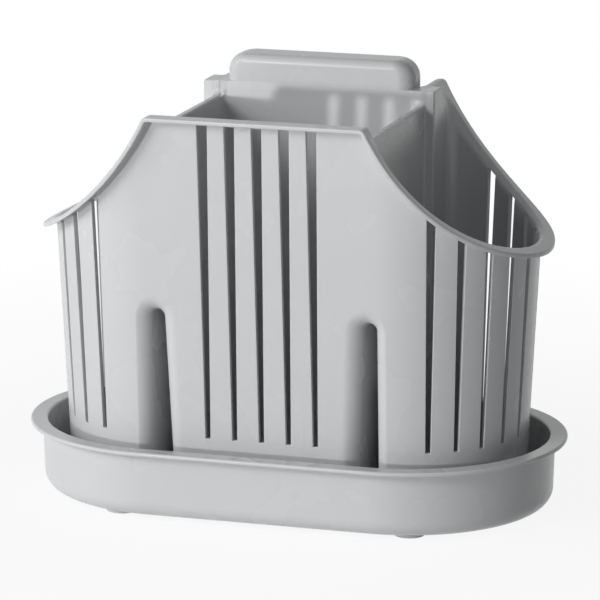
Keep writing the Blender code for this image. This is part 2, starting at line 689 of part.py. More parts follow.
def build_basket(material):
    bm = bmesh.new()
    wall_blank(bm)
    basket = add_object('basket', bm, material)
    recess = build_cutter('recess_cutter', recess_cutter)
    flange = build_cutter('flange_blank', flange_blank)
    notch = build_cutter('notch_cutter', notch_cutter)
    keeper = build_cutter('flange_keeper', lambda b: above_rim(b, FLANGE_THICKNESS))
    above = build_cutter('rim_cutter', lambda b: above_rim(b, 0))
    cups = build_cutter('cup_cutter', middle_cup, lambda b: end_cup(b, 1), lambda b: end_cup(b, -1))
    tunnels = build_cutter('tunnel_cutter', lambda b: tunnel_cutter(b, 1), lambda b: tunnel_cutter(b, -1))
    partitions = build_cutter('partition_cutter', lambda b: partition_cutter(b, 1),
                              lambda b: partition_cutter(b, -1))
    slots = build_cutter('slot_cutter', front_slots, lambda b: end_slots(b, 1), lambda b: end_slots(b, -1),
                         drain_slots)
    skirt_z = rim_z - HOOD_DROP
    hood = build_cutter('hood_blank', lambda b: add_loft(b, hood_rings(0, skirt_z)))
    hollow = build_cutter('hood_hollow', lambda b: add_loft(b, hood_rings(HOOD_WALL, skirt_z - OVERRUN)))
    apply_boolean(flange, 'notch', notch, 'DIFFERENCE')
    apply_boolean(flange, 'underside', keeper, 'INTERSECT')
    apply_boolean(basket, 'recess', recess, 'DIFFERENCE')
    apply_boolean(basket, 'flange', flange, 'UNION')
    apply_boolean(basket, 'rim', above, 'DIFFERENCE')
    apply_boolean(basket, 'cups', cups, 'DIFFERENCE')
    apply_boolean(basket, 'tunnels', tunnels, 'DIFFERENCE')
    apply_boolean(basket, 'partitions', partitions, 'DIFFERENCE')
    apply_boolean(basket, 'slots', slots, 'DIFFERENCE')
    apply_boolean(basket, 'hood', hood, 'UNION')
    apply_boolean(basket, 'hood_hollow', hollow, 'DIFFERENCE')
    shade_round_after_cuts(basket)
    return basket


# Drip tray
def build_tray(material):
    wall_radius = tray_radius - TRAY_LIP_OVERHANG
    lip_low = tray_top_z - TRAY_LIP_THICKNESS
    foot_radius = wall_radius - (lip_low - tray_bottom_z) * TRAY_DRAFT
    inner_round = TRAY_BOTTOM_ROUND - TRAY_WALL
    profile = arc((foot_radius - TRAY_BOTTOM_ROUND, tray_bottom_z + TRAY_BOTTOM_ROUND),
                  TRAY_BOTTOM_ROUND, -90, 0, TRAY_ROUND_STEPS)
    profile += [(wall_radius, lip_low), (tray_radius - TRAY_LIP_ROUND / 2, lip_low),
                (tray_radius, lip_low + TRAY_LIP_THICKNESS - TRAY_LIP_ROUND)]
    profile += arc((tray_radius - TRAY_LIP_ROUND, tray_top_z - TRAY_LIP_ROUND),
                   TRAY_LIP_ROUND, 0, 90, EDGE_STEPS)[1:]
    mouth = wall_radius - TRAY_WALL
    profile += arc((mouth + TRAY_MOUTH_FLARE, tray_top_z - TRAY_MOUTH_FLARE),
                   TRAY_MOUTH_FLARE, 90, 180, EDGE_STEPS)
    profile += arc((foot_radius - TRAY_BOTTOM_ROUND, tray_floor_z + inner_round),
                   inner_round, 0, -90, TRAY_ROUND_STEPS)
    bm = bmesh.new()
    add_loft(bm, [level_ring(stadium(tray_straight, radius), z) for radius, z in profile])
    tray = add_object('drip_tray', bm, material)
    shade_round(tray)
    return tray


def build_foot(name, x, y, material):
    bm = bmesh.new()
    profile = arc((FOOT_RADIUS - FOOT_EDGE_ROUND, FOOT_EDGE_ROUND), FOOT_EDGE_ROUND, -90, 0, EDGE_STEPS)
    profile.append((FOOT_RADIUS, FOOT_HEIGHT))
    rings = []
    for radius, z in profile:
        circle = arc((0, 0), radius, 0, 360, FOOT_STEPS)[:-1]
        rings.append(level_ring(circle, z))
    add_loft(bm, rings)
    foot = add_object(name, bm, material)
    foot.location = (x, y, 0)
    shade_round(foot)
    return foot


def build():
    for obj in list(bpy.data.objects):
        bpy.data.objects.remove(obj)
    basket = build_basket(moulded_plastic('basket grey polypropylene', (0.58, 0.58, 0.585), 0.28))
    tray = build_tray(moulded_plastic('tray grey polypropylene', (0.56, 0.56, 0.565), 0.28))
    foot_x = TRAY_LENGTH / 2 - FOOT_INSET_X
    foot_y = TRAY_WIDTH / 2 - FOOT_INSET_Y
    for name, x, y in (('foot_front_left', -foot_x, -foot_y), ('foot_front_right', foot_x, -foot_y),
                       ('foot_back_left', -foot_x, foot_y), ('foot_back_right', foot_x, foot_y)):
        build_foot(name, x, y, moulded_plastic(name + ' grey plastic', (0.5, 0.5, 0.505), 0.4))
    lift = bpy.data.objects.new('basket_lift', None)
    lift.location = (0, 0, basket_bottom_z)
    bpy.context.scene.collection.objects.link(lift)
    bpy.context.view_layer.update()
    basket.parent = lift
    basket.matrix_parent_inverse = lift.matrix_world.inverted()


build()
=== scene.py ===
import math

import bmesh
import bpy
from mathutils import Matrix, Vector


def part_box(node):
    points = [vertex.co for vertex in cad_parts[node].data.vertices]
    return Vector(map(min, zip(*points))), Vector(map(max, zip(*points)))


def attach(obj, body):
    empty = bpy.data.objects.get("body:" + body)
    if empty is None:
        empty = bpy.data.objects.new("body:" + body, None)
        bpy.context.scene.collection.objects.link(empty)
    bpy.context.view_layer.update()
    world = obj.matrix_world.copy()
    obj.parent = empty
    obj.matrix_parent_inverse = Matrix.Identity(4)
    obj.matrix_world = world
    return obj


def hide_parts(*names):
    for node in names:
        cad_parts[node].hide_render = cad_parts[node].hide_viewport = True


# Cutlery holder: a slotted three-cup basket in an oval drip tray on four feet.
# The front faces -Y, Z is up, metres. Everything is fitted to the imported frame.

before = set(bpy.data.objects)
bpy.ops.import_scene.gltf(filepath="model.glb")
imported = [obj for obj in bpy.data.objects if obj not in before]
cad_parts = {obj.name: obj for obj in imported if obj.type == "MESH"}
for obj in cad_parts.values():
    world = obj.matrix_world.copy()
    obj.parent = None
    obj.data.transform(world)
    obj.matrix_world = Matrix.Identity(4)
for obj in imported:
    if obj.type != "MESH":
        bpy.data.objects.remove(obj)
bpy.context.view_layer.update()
basketLow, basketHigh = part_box("basket")
trayLow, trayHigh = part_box("drip_tray")

mm = 0.001
quarterTurn = 90
halfTurn = 180
shading = {
    "sharpAngle": 32,              # degrees, edges sharper than this stay crisp
    "faceWeight": 100,             # how far large faces steer the shading
}


# Shared tools
def arcPoints(centre, radius, start, end, steps):
    # points along an arc, angles in degrees, both ends included
    points = []
    for i in range(steps + 1):
        angle = math.radians(start + (end - start) * i / steps)
        points.append((centre[0] + radius * math.cos(angle), centre[1] + radius * math.sin(angle)))
    return points


def evenly(start, end, steps):
    return [start + (end - start) * i / steps for i in range(steps + 1)]


def roundedOutline(corners, steps):
    # outline through (x, y, rounding) corners, a rounding of 0 keeps the corner
    points = []
    for i, (x, y, radius) in enumerate(corners):
        if radius <= 0:
            points.append((x, y))
            continue
        here = Vector((x, y))
        before = Vector(corners[i - 1][:2]) - here
        after = Vector(corners[(i + 1) % len(corners)][:2]) - here
        half = before.angle(after) / 2
        reach = radius / math.tan(half)
        inward = (before.normalized() + after.normalized()).normalized()
        centre = here + inward * radius / math.sin(half)
        start = here + before.normalized() * reach - centre
        end = here + after.normalized() * reach - centre
        startAngle = math.atan2(start.y, start.x)
        turn = (math.atan2(end.y, end.x) - startAngle + math.pi) % (2 * math.pi) - math.pi
        for k in range(steps + 1):
            angle = startAngle + turn * k / steps
            points.append((centre.x + radius * math.cos(angle),
                           centre.y + radius * math.sin(angle)))
    return points


def level(outline, z):
    return [(x, y, z) for x, y in outline]


def mirrored(rings):
    return [[(-x, y, z) for x, y, z in reversed(ring)] for ring in rings]


def addLoft(bm, rings, stripTop=False):
    # closed body through rings of equally many points; stripTop closes it in strips along Y
    loops = [[bm.verts.new(p) for p in ring] for ring in rings]
    count = len(loops[0])
    for lower, upper in zip(loops, loops[1:]):
        for i in range(count):
            j = (i + 1) % count
            bm.faces.new((lower[i], lower[j], upper[j], upper[i]))
    bm.faces.new(list(reversed(loops[0])))
    top = loops[-1]
    if not stripTop:
        bm.faces.new(top)
        return
    front, back = top[:count // 2], list(reversed(top[count // 2:]))
    for i in range(len(front) - 1):
        bm.faces.new((front[i], front[i + 1], back[i + 1], back[i]))


def addLathe(bm, profile, outlineAt):
    # a turned-over profile of (radius, z), closed on itself, along an outline
    rings = [level(outlineAt(radius), z) for radius, z in profile]
    addLoft(bm, rings)


def makeObject(name, bm):
    bmesh.ops.recalc_face_normals(bm, faces=bm.faces)
    mesh = bpy.data.meshes.new(name)
    bm.to_mesh(mesh)
    bm.free()
    obj = bpy.data.objects.new(name, mesh)
    bpy.context.scene.collection.objects.link(obj)
    return obj


def shapeFrom(name, *fillers):
    bm = bmesh.new()
    for filler in fillers:
        filler(bm)
    return makeObject(name, bm)


def combine(obj, other, operation):
    # applies one Boolean and throws the tool shape away
    modifier = obj.modifiers.new(operation, "BOOLEAN")
    modifier.object = other
    modifier.operation = operation
    modifier.solver = "EXACT"
    applyModifiers(obj)
    bpy.data.objects.remove(other)


def applyModifiers(obj):
    bpy.context.view_layer.update()
    shape = obj.evaluated_get(bpy.context.evaluated_depsgraph_get())
    mesh = bpy.data.meshes.new_from_object(shape)
    obj.modifiers.clear()
    obj.data = mesh


def shadeSoft(obj):
    # smooth shading that large faces steer, with crisp edges kept
    obj.data.shade_smooth()
    obj.data.set_sharp_from_angle(angle=math.radians(shading["sharpAngle"]))
    modifier = obj.modifiers.new("weighted normals", "WEIGHTED_NORMAL")
    modifier.keep_sharp = True
    modifier.weight = shading["faceWeight"]
    applyModifiers(obj)


# Materials
def linearColour(code):
    # sRGB hex to linear
    values = []
    for i in (1, 3, 5):
        v = int(code[i:i + 2], 16) / 255
        values.append(v / 12.92 if v <= 0.04045 else ((v + 0.055) / 1.055) ** 2.4)
    return (*values, 1)


def addNode(tree, kind, settings=(), links=()):
    node = tree.nodes.new(kind)
    for name, value in dict(settings).items():
        if name in node.inputs:
            node.inputs[name].default_value = value
        else:
            setattr(node, name, value)
    for name, source in dict(links).items():
        tree.links.new(source, node.inputs[name])
    return node


mouldedPolypropylene = {
    "colour": "#CACBCC",
    "paleColour": "#CFD0D1",       # where the melt flowed slower and the skin is a little whiter
    "roughness": 0.27,             # satin, from a finely finished tool
    "roughnessSpread": 0.06,
    "ior": 1.49,
    "specular": 0.3,               # the fine grain takes a part of the mirror reflection away
    "flowPatch": 28 * mm,          # size of the slow changes in sheen
    "flowDetail": 2,
    "orangePeel": 3.2 * mm,        # width of the faint waves in the skin
    "orangePeelDetail": 1,
    "orangePeelDepth": 0.012 * mm,
    "toolGrain": 0.45 * mm,        # really about 0.1 mm, drawn coarser so that it shows
    "toolGrainDetail": 2,
    "toolGrainDepth": 0.0012 * mm,
}


def mouldedPolypropyleneMaterial(name, finish):
    # injection-moulded polypropylene: a satin sheen with a soft highlight, faint orange peel,
    # and slow changes in sheen where the melt flowed
    material = bpy.data.materials.new(name)
    material.use_nodes = True
    tree = material.node_tree
    tree.nodes.clear()
    place = addNode(tree, "ShaderNodeTexCoord").outputs["Object"]
    flow, peel, grain = [
        addNode(tree, "ShaderNodeTexNoise",
                {"Scale": 1 / finish[pattern], "Detail": finish[detail]}, {"Vector": place})
        for pattern, detail in (("flowPatch", "flowDetail"), ("orangePeel", "orangePeelDetail"),
                                ("toolGrain", "toolGrainDetail"))]
    colour = addNode(tree, "ShaderNodeMix",
                     {"data_type": "RGBA", "A": linearColour(finish["colour"]),
                      "B": linearColour(finish["paleColour"])},
                     {"Factor": flow.outputs["Fac"]})
    low = finish["roughness"] - finish["roughnessSpread"] / 2
    high = finish["roughness"] + finish["roughnessSpread"] / 2
    sheen = addNode(tree, "ShaderNodeMapRange", {"To Min": low, "To Max": high},
                    {"Value": flow.outputs["Fac"]})
    waves = addNode(tree, "ShaderNodeBump", {"Distance": finish["orangePeelDepth"]},
                    {"Height": peel.outputs["Fac"]})
    skin = addNode(tree, "ShaderNodeBump", {"Distance": finish["toolGrainDepth"]},
                   {"Height": grain.outputs["Fac"], "Normal": waves.outputs["Normal"]})
    shader = addNode(tree, "ShaderNodeBsdfPrincipled",
                     {"IOR": finish["ior"], "Metallic": 0.0,
                      "Specular IOR Level": finish["specular"]},
                     {"Base Color": colour.outputs["Result"], "Roughness": sheen.outputs["Result"],
                      "Normal": skin.outputs["Normal"]})
    addNode(tree, "ShaderNodeOutputMaterial", (), {"Surface": shader.outputs["BSDF"]})
    return material


# Basket
basket = {
    "wall": 2.0 * mm,
    "wallLean": 0.05,              # the outer wall leans out, run over rise
    "baseRound": 4.0 * mm,
    "floor": 2.0 * mm,
    "floorRound": 2.5 * mm,        # inside, wall to floor
    "wallStraight": 46.5 * mm,     # half of the straight part of the long walls
    "plateauHalf": 43.5 * mm,      # half of the level part of the rim
    "shoulderRound": 2.5 * mm,     # where the rim starts to drop
    "shoulderLeastRound": 0.4 * mm,
    "swoopRadius": 104.3 * mm,
    "swoopStart": 64.3,            # degrees below level at the top of the drop
    "swoopEnd": 24.1,              # and at its foot
    "flangeWidth": 5.4 * mm,
    "flangeThickness": 1.65 * mm,
    "flangeTopRound": 0.55 * mm,
    "flangeUnderRound": 0.35 * mm,
    "flangeFillet": 1.2 * mm,      # under the flange, into the wall
    "endBend": 3.8 * mm,           # the ends' inner wall bends out into the flange
    "plateauBend": 0.8 * mm,
    "bendBlend": 14.8 * mm,        # the one grows into the other while the rim drops by this
    "bendLastAngle": 75,           # degrees turned where it reaches the rim
    "bendOvershoot": 0.1 * mm,
    "bendSteps": 5,
    "earInner": 42.5 * mm,         # the level rim beside the recess starts here along X,
    "earEdgeWalls": 1.5,           # ends this many walls past the recess's side,
    "earEnd": 39.0 * mm,           # reaches up to here along Y
    "earRamp": 3.0 * mm,           # and then drops within this length
    "earRampShare": 1.2,           # share of the ramp's length that is filled up
    "earSteps": 12,
    "endStep": 2.0,                # degrees between the facets round the ends
    "shoulderSteps": 22,
    "plateauSteps": 12,
    "roundSteps": 6,
    "edgeSteps": 4,
}
cups = {
    "middleHalf": 40.0 * mm,       # inside, at the partitions' tops
    "middleLean": 0.038,
    "middleBack": 27.5 * mm,       # inner face of the back wall at the rim
    "backLean": 0.03,
    "backRound": 2.8 * mm,
    "frontRound": 4.0 * mm,        # upright corners beside the tunnels
    "upperRound": 1.0 * mm,        # the same corners above the tunnels
    "partition": 3.4 * mm,
    "partitionLean": 0.0073,
    "partitionDrop": 5.9 * mm,
    "partitionSweep": 2.5 * mm,    # its rise to the rim at the back
    "partitionRound": 1.0 * mm,    # rounding of its top edges
    "partitionEndInset": 0.3 * mm,
    "sideRound": 4.0 * mm,         # between an end cup's wall and the flat side beside the recess
    "stepRound": 0.8 * mm,
    "stepShare": 0.45,             # most of the step that its two roundings may take
    "endSteps": 80,
    "cornerSteps": 8,
}
tunnels = {
    "springHeight": 75.2 * mm,     # underside of the basket to where the arch starts
    "span": 5.6 * mm,
    "innerWall": 2.44 * mm,        # between the middle cup and the tunnel
    "mouthRound": 6.0 * mm,
    "backRound": 4.5 * mm,
    "outerWall": 1.8 * mm,
    "shoulderRise": 4.0 * mm,
    "recessStep": 0.2 * mm,
    "recessRound": 1.5 * mm,
    "notchRound": 7.0 * mm,        # the flange's inner corners round the recess
    "notchMouthRound": 4.0 * mm,
    "steps": 12,
}
slots = {
    "count": 5,
    "pitch": 10.8 * mm,
    "footHeight": 28.5 * mm,
    "footWidth": 1.9 * mm,
    "taper": 0.0178,
    "toFlange": 1.2 * mm,
    "endToFlange": 0.4 * mm,
    "endCount": 10,
    "endStep": 13.9,               # degrees from slot to slot
    "endFirst": 10.5,
    "edgeRound": 0.3 * mm,
    "drainWidth": 2.5 * mm,
    "drainMargin": 9.0 * mm,
    "drainRoundShare": 0.4,
    "steps": 3,
}
hood = {
    "halfLength": 38.4 * mm,
    "depth": 16.5 * mm,
    "rise": 11.0 * mm,             # above the rim
    "drop": 8.7 * mm,
    "wall": 2.0 * mm,
    "shoulderRound": 7.4 * mm,
    "edgeRound": 3.1 * mm,
    "cornerRound": 6.0 * mm,
    "setback": 0.1 * mm,
    "leastRound": 0.3 * mm,
    "steps": 10,
}
overrun = 8 * mm                   # how far a cutter runs past what it cuts
hair = 0.05 * mm                   # keeps two faces from lying in one plane
settleRounds = 6                   # rounds in which a point settles onto the falling rim

basketBottom = basketLow.z
basketFloor = basketBottom + basket["floor"]
rimZ = basketHigh.z - hood["rise"]
overZ = basketHigh.z + overrun
footRadius = -basketLow.y - basket["flangeWidth"] - (rimZ - basketBottom) * basket["wallLean"]
partitionZ = rimZ - cups["partitionDrop"]
springZ = basketBottom + tunnels["springHeight"]
mouthTop = springZ + tunnels["span"] / 2 + tunnels["mouthRound"]


def outerRadius(z):
    return footRadius + (z - basketBottom) * basket["wallLean"]


def innerRadius(z):
    return outerRadius(z) - basket["wall"]


def middleHalf(z):
    return cups["middleHalf"] - (partitionZ - z) * cups["middleLean"]


def backFace(z):
    return cups["middleBack"] - (rimZ - z) * cups["backLean"]


def tunnelInner(z):
    return middleHalf(z) + tunnels["innerWall"]


def tunnelOuter():
    return tunnelInner(springZ) + tunnels["span"]


def recessHalf():
    return tunnelOuter() + tunnels["recessStep"]


def partitionOuter(z):
    return cups["middleHalf"] + cups["partition"] + (partitionZ - z) * cups["partitionLean"]


def rimHeight(x, depth=0):
    # height of the rim over a distance from the middle, or of its copy lowered square to itself
    x = abs(x)
    start, end = math.radians(basket["swoopStart"]), math.radians(basket["swoopEnd"])
    radius = basket["swoopRadius"] + depth
    centreX = basket["plateauHalf"] + basket["swoopRadius"] * math.sin(start)
    centreZ = rimZ + basket["swoopRadius"] * math.cos(start)
    plateau = rimZ - depth
    cornerX = centreX - math.sqrt(radius ** 2 - (centreZ - plateau) ** 2)
    cornerRound = max(basket["shoulderRound"] - depth, basket["shoulderLeastRound"])
    fillet = cornerRound * math.tan(start / 2)
    if x <= cornerX - fillet:
        return plateau
    if x <= cornerX - fillet + cornerRound * math.sin(start):
        across = x - (cornerX - fillet)
        return plateau - cornerRound + math.sqrt(cornerRound ** 2 - across ** 2)
    footX = centreX - radius * math.sin(end)
    if x >= footX:
        return centreZ - radius * math.cos(end) - (x - footX) * math.tan(end)
    return centreZ - math.sqrt(radius ** 2 - (x - centreX) ** 2)


def earEdge():
    return recessHalf() + basket["wall"] * basket["earEdgeWalls"]


def rimTop(x, y, depth=0):
    # the same, with the level part beside the recess, which is called an ear here
    z = rimHeight(x, depth)
    if y < backFace(rimZ) - basket["wall"] or abs(x) > earEdge():
        return z
    share = min(max((y - basket["earEnd"]) / basket["earRamp"], 0), 1)
    return rimZ - depth + (z - rimZ + depth) * share


def ringAlongRim(outlineAt, depthAt, spreadAt=None):
    # a ring that follows the rim. An outline hardly bends between two heights, so each point is
    # found between two outlines; depthAt and spreadAt are functions of x and y
    lowZ = rimZ - basket["swoopRadius"]
    low, high, wide = outlineAt(lowZ, 0), outlineAt(rimZ, 0), outlineAt(rimZ, mm)
    ring = []
    for a, b, c in zip(low, high, wide):
        x, y, z = b[0], b[1], rimZ
        for _ in range(settleRounds):
            rise = (z - lowZ) / (rimZ - lowZ)
            spread = spreadAt(x, y) / mm if spreadAt else 0
            x = a[0] + (b[0] - a[0]) * rise + (c[0] - b[0]) * spread
            y = a[1] + (b[1] - a[1]) * rise + (c[1] - b[1]) * spread
            z = rimTop(x, y, depthAt(x, y))
        ring.append((x, y, z))
    return ring


def bendAt(x, y):
    # radius of the bend from the inner wall into the rim: small on the level part and larger at
    # the ends
    share = min((rimZ - rimTop(x, y)) / basket["bendBlend"], 1)
    return basket["plateauBend"] + (basket["endBend"] - basket["plateauBend"]) * share


def bendRings(outlineAt):
    # the top of a cup's hollow: it bends out, meets the rim and goes straight up
    rings = []
    for angle in evenly(0, basket["bendLastAngle"], basket["bendSteps"]):
        sine, cosine = math.sin(math.radians(angle)), math.cos(math.radians(angle))
        rings.append(ringAlongRim(outlineAt, lambda x, y: bendAt(x, y) * (1 - sine),
                                  lambda x, y: bendAt(x, y) * (1 - cosine)))
    above = basket["bendOvershoot"]
    rings.append(ringAlongRim(outlineAt, lambda x, y: -above,
                              lambda x, y: bendAt(x, y) * (1 - cosine)
                              + (bendAt(x, y) * (1 - sine) + above) * sine / cosine))
    rings.append([(x, y, overZ) for x, y, z in rings[-1]])
    return rings


def flatPlaces():
    # places along the straight side of the wall, close together where the rim starts to drop
    straight = basket["wallStraight"]
    near = basket["plateauHalf"] - basket["shoulderRound"]
    right = evenly(near, straight, basket["shoulderSteps"])[:-1]
    middle = evenly(-near, near, basket["plateauSteps"])[1:-1]
    return [-x for x in reversed(right)] + middle + right


def wallOutline(radius):
    # a rectangle with two half-round ends, anticlockwise from the left end's middle
    straight = basket["wallStraight"]
    halfStep = basket["endStep"] / 2
    steps = round((quarterTurn - halfStep) / basket["endStep"])
    right = arcPoints((straight, 0), radius, -quarterTurn, -halfStep, steps)
    front = [(-x, y) for x, y in reversed(right)] + [(x, -radius) for x in flatPlaces()] + right
    return front + [(x, -y) for x, y in reversed(front)]


def basketBody(bm):
    # the outer wall, the flange and a lid along the rim, before anything is cut
    def outline(z, spread):
        return wallOutline(outerRadius(z) + spread)

    baseRound = basket["baseRound"]
    rings = []
    for x, rise in arcPoints((0, 0), baseRound, -quarterTurn, 0, basket["roundSteps"]):
        z = basketBottom + baseRound + rise
        rings.append(level(wallOutline(outerRadius(z) - baseRound + x), z))
    width, thickness = basket["flangeWidth"], basket["flangeThickness"]
    fillet, under = basket["flangeFillet"], basket["flangeUnderRound"]
    top = basket["flangeTopRound"]
    section = arcPoints((fillet, thickness + fillet), fillet, halfTurn, halfTurn + quarterTurn,
                        basket["roundSteps"])
    section += arcPoints((width - under, thickness - under), under, quarterTurn, 0,
                         basket["edgeSteps"])
    section += arcPoints((width - top, top), top, 0, -quarterTurn, basket["edgeSteps"])
    for spread, depth in section:
        rings.append(ringAlongRim(outline, lambda x, y: depth, lambda x, y: spread))
    addLoft(bm, rings, stripTop=True)


def rimEars(bm, side):
    # fills up the rim beside the recess to the middle's height
    edge = earEdge()
    places = evenly(basket["earInner"], edge, basket["earSteps"])
    low = rimHeight(edge) - overrun / 2
    start = backFace(rimZ) - basket["wall"] / 2
    end, past = basket["earEnd"], basket["earRampShare"]
    rings = []
    for y, share in ((start, 0), (end, 0), (end + basket["earRamp"] * past, past)):
        top = [(x, y, rimZ + (rimHeight(x) - rimZ) * share) for x in reversed(places)]
        rings.append([(places[0], y, low), (edge, y, low)] + top)
    addLoft(bm, mirrored(rings) if side < 0 else rings)
    bmesh.ops.triangulate(bm, faces=bm.faces)


def recessCutter(bm):
    # the gap behind the middle cup, up to the flange's underside
    cornerRound = tunnels["recessRound"]
    depth = basket["flangeThickness"] - hair
    low = basketBottom - overrun
    back = outerRadius(rimZ) + 2 * overrun

    def outline(half, y):
        over = [x for x in flatPlaces() if abs(x) < half - hair]
        top = [(x, rimTop(x, y, depth)) for x in [-half] + over + [half]]
        return [(half, low), (-half, low)] + top

    front = backFace(rimZ)
    rings = []
    for inset, gone in arcPoints((0, 0), cornerRound, quarterTurn, 0, cups["cornerSteps"]):
        half = recessHalf() - cornerRound + inset
        rings.append([(x, backFace(z) + basket["wall"] + cornerRound - gone, z)
                      for x, z in outline(half, front)])
    end = basket["earEnd"]
    for y in (end, end + basket["earRamp"], back):
        rings.append([(x, y, z) for x, z in outline(recessHalf(), y)])
    addLoft(bm, rings)
    bmesh.ops.triangulate(bm, faces=bm.faces)


def notchCutter(bm):
    # the flange's edge round the recess, with its top edge rounded
    def outline(z, spread):
        half = recessHalf() - basket["flangeWidth"] + spread
        front = backFace(rimZ) + basket["wall"] + basket["flangeWidth"] - spread
        mouth = outerRadius(rimZ) + basket["flangeWidth"] + hair
        far = half + tunnels["notchMouthRound"] + overrun
        right = [(half, front, tunnels["notchRound"] + spread),
                 (half, mouth, tunnels["notchMouthRound"] - spread),
                 (far, mouth, 0), (far, mouth + overrun, 0)]
        left = [(-x, y, radius) for x, y, radius in reversed(right)]
        return roundedOutline(left + right, cups["cornerSteps"])

    top = basket["flangeTopRound"]
    rings = [level(outline(rimZ, 0), rimZ - 2 * overrun),
             ringAlongRim(outline, lambda x, y: basket["flangeThickness"] + overrun / 2)]
    for inset, rise in arcPoints((top, 0), top, halfTurn, quarterTurn, basket["edgeSteps"]):
        rings.append(ringAlongRim(outline, lambda x, y: top - rise, lambda x, y: inset))
    rings.append([(x, y, overZ) for x, y, z in rings[-1]])
    addLoft(bm, rings)


def endCupOutline(z, face, corner, spread=0):
    # inside of the right end cup. In front its flat side lies at face, behind the step it lies
    # beside the recess. Spread widens it everywhere but at face
    straight = basket["wallStraight"]
    radius = innerRadius(z) + spread
    side = recessHalf() + basket["wall"] - spread
    stepY = backFace(z) + spread
    stepRound = min(cups["stepRound"], (side - face) * cups["stepShare"])
    cornerX = face + corner
    cornerY = -math.sqrt((radius - corner) ** 2 - max(0, cornerX - straight) ** 2)
    start = math.degrees(math.atan2(cornerY, max(0, cornerX - straight)))
    sideRound = cups["sideRound"]
    backX = side + sideRound
    backY = math.sqrt((radius - sideRound) ** 2 - (backX - straight) ** 2)
    end = math.degrees(math.atan2(backY, backX - straight))
    points = arcPoints((cornerX, cornerY), corner, -halfTurn, start, cups["cornerSteps"])
    points += arcPoints((straight, 0), radius, start, end, cups["endSteps"])[1:-1]
    points += arcPoints((backX, backY), sideRound, end, halfTurn, cups["cornerSteps"])
    points.append((side, min(basket["earEnd"] + basket["earRamp"], backY - hair)))
    points.append((side, min(basket["earEnd"], backY - basket["earRamp"])))
    steps = cups["cornerSteps"]
    points += arcPoints((side - stepRound, stepY + stepRound), stepRound, 0, -quarterTurn, steps)
    points += arcPoints((face + stepRound, stepY - stepRound), stepRound, quarterTurn, halfTurn,
                        steps)
    return points


def floorCurve():
    # rounding from a cup's floor into its walls: how far it stands in there, and how high
    radius = basket["floorRound"]
    curve = arcPoints((0, radius), radius, -quarterTurn, 0, basket["roundSteps"])
    return [(radius - inset, rise) for inset, rise in curve]


def endCupHollow(bm, side):
    # its flat side goes up beside the tunnel, over the arch and up the partition
    shell = tunnels["span"] / 2 + tunnels["outerWall"]
    centreX = tunnelInner(springZ) + tunnels["span"] / 2
    last = math.degrees(math.acos((partitionOuter(springZ + shell) - centreX) / shell))
    lowFace = tunnelOuter() + tunnels["outerWall"]
    corner = cups["frontRound"]
    rings = []
    for gone, rise in floorCurve():
        z = basketFloor + rise
        rings.append(level(endCupOutline(z, lowFace + gone, corner, -gone), z))
    for x, rise in arcPoints((centreX, 0), shell, 0, last, basket["roundSteps"]):
        z = springZ + rise * (shell + tunnels["shoulderRise"]) / shell
        rings.append(level(endCupOutline(z, x, corner), z))

    def upper(z, spread):
        return endCupOutline(z, partitionOuter(z), cups["upperRound"], spread)

    z = max(z, mouthTop) + tunnels["mouthRound"]
    rings.append(level(upper(z, 0), z))
    rings += bendRings(upper)
    addLoft(bm, mirrored(rings) if side < 0 else rings)


def middleCupHollow(bm):
    steps = cups["cornerSteps"]

    def outline(z, corner, inset=0, spread=0):
        half = middleHalf(z) - inset
        front = inset - innerRadius(z) - spread
        back = backFace(z) - inset
        return roundedOutline([(-half, front, corner), (half, front, corner),
                               (half, back, cups["backRound"] - inset),
                               (-half, back, cups["backRound"] - inset)], steps)

    rings = []
    for gone, rise in floorCurve():
        z = basketFloor + rise
        rings.append(level(outline(z, cups["frontRound"], gone), z))
    rings.append(level(outline(mouthTop, cups["frontRound"]), mouthTop))
    z = mouthTop + tunnels["mouthRound"]
    rings.append(level(outline(z, cups["upperRound"]), z))
    rings += bendRings(lambda z, spread: outline(z, cups["upperRound"], 0, spread))
    addLoft(bm, rings)


def tunnelCutter(bm, side):
    # the tunnel with its mouth rounded into the front wall and, at the back, round the corner of
    # the middle cup
    def arch(innerSpread, outerSpread):
        bottom = basketBottom - overrun
        left = tunnelInner(springZ) - innerSpread
        right = tunnelOuter() + outerSpread
        outline = [(tunnelInner(bottom) - innerSpread, bottom), (right, bottom)]
        return outline + arcPoints(((left + right) / 2, springZ), (right - left) / 2, 0, halfTurn,
                                   2 * tunnels["steps"])

    def frontRing(depth, spread):
        return [(x, depth - outerRadius(z), z) for x, z in arch(spread, spread)]

    def backRing(depth, spread):
        return [(x, backFace(z) + basket["wall"] - depth, z) for x, z in arch(spread, 0)]

    mouth, back = tunnels["mouthRound"], tunnels["backRound"]
    rings = [frontRing(-overrun, mouth)]
    for x, y in arcPoints((0, 0), mouth, 0, quarterTurn, tunnels["steps"]):
        rings.append(frontRing(mouth - x, mouth - y))
    for x, y in arcPoints((0, 0), back, quarterTurn, 0, tunnels["steps"]):
        rings.append(backRing(back - x, back - y))
    rings.append(backRing(-basket["wall"], back))
    addLoft(bm, mirrored(rings) if side < 0 else rings)


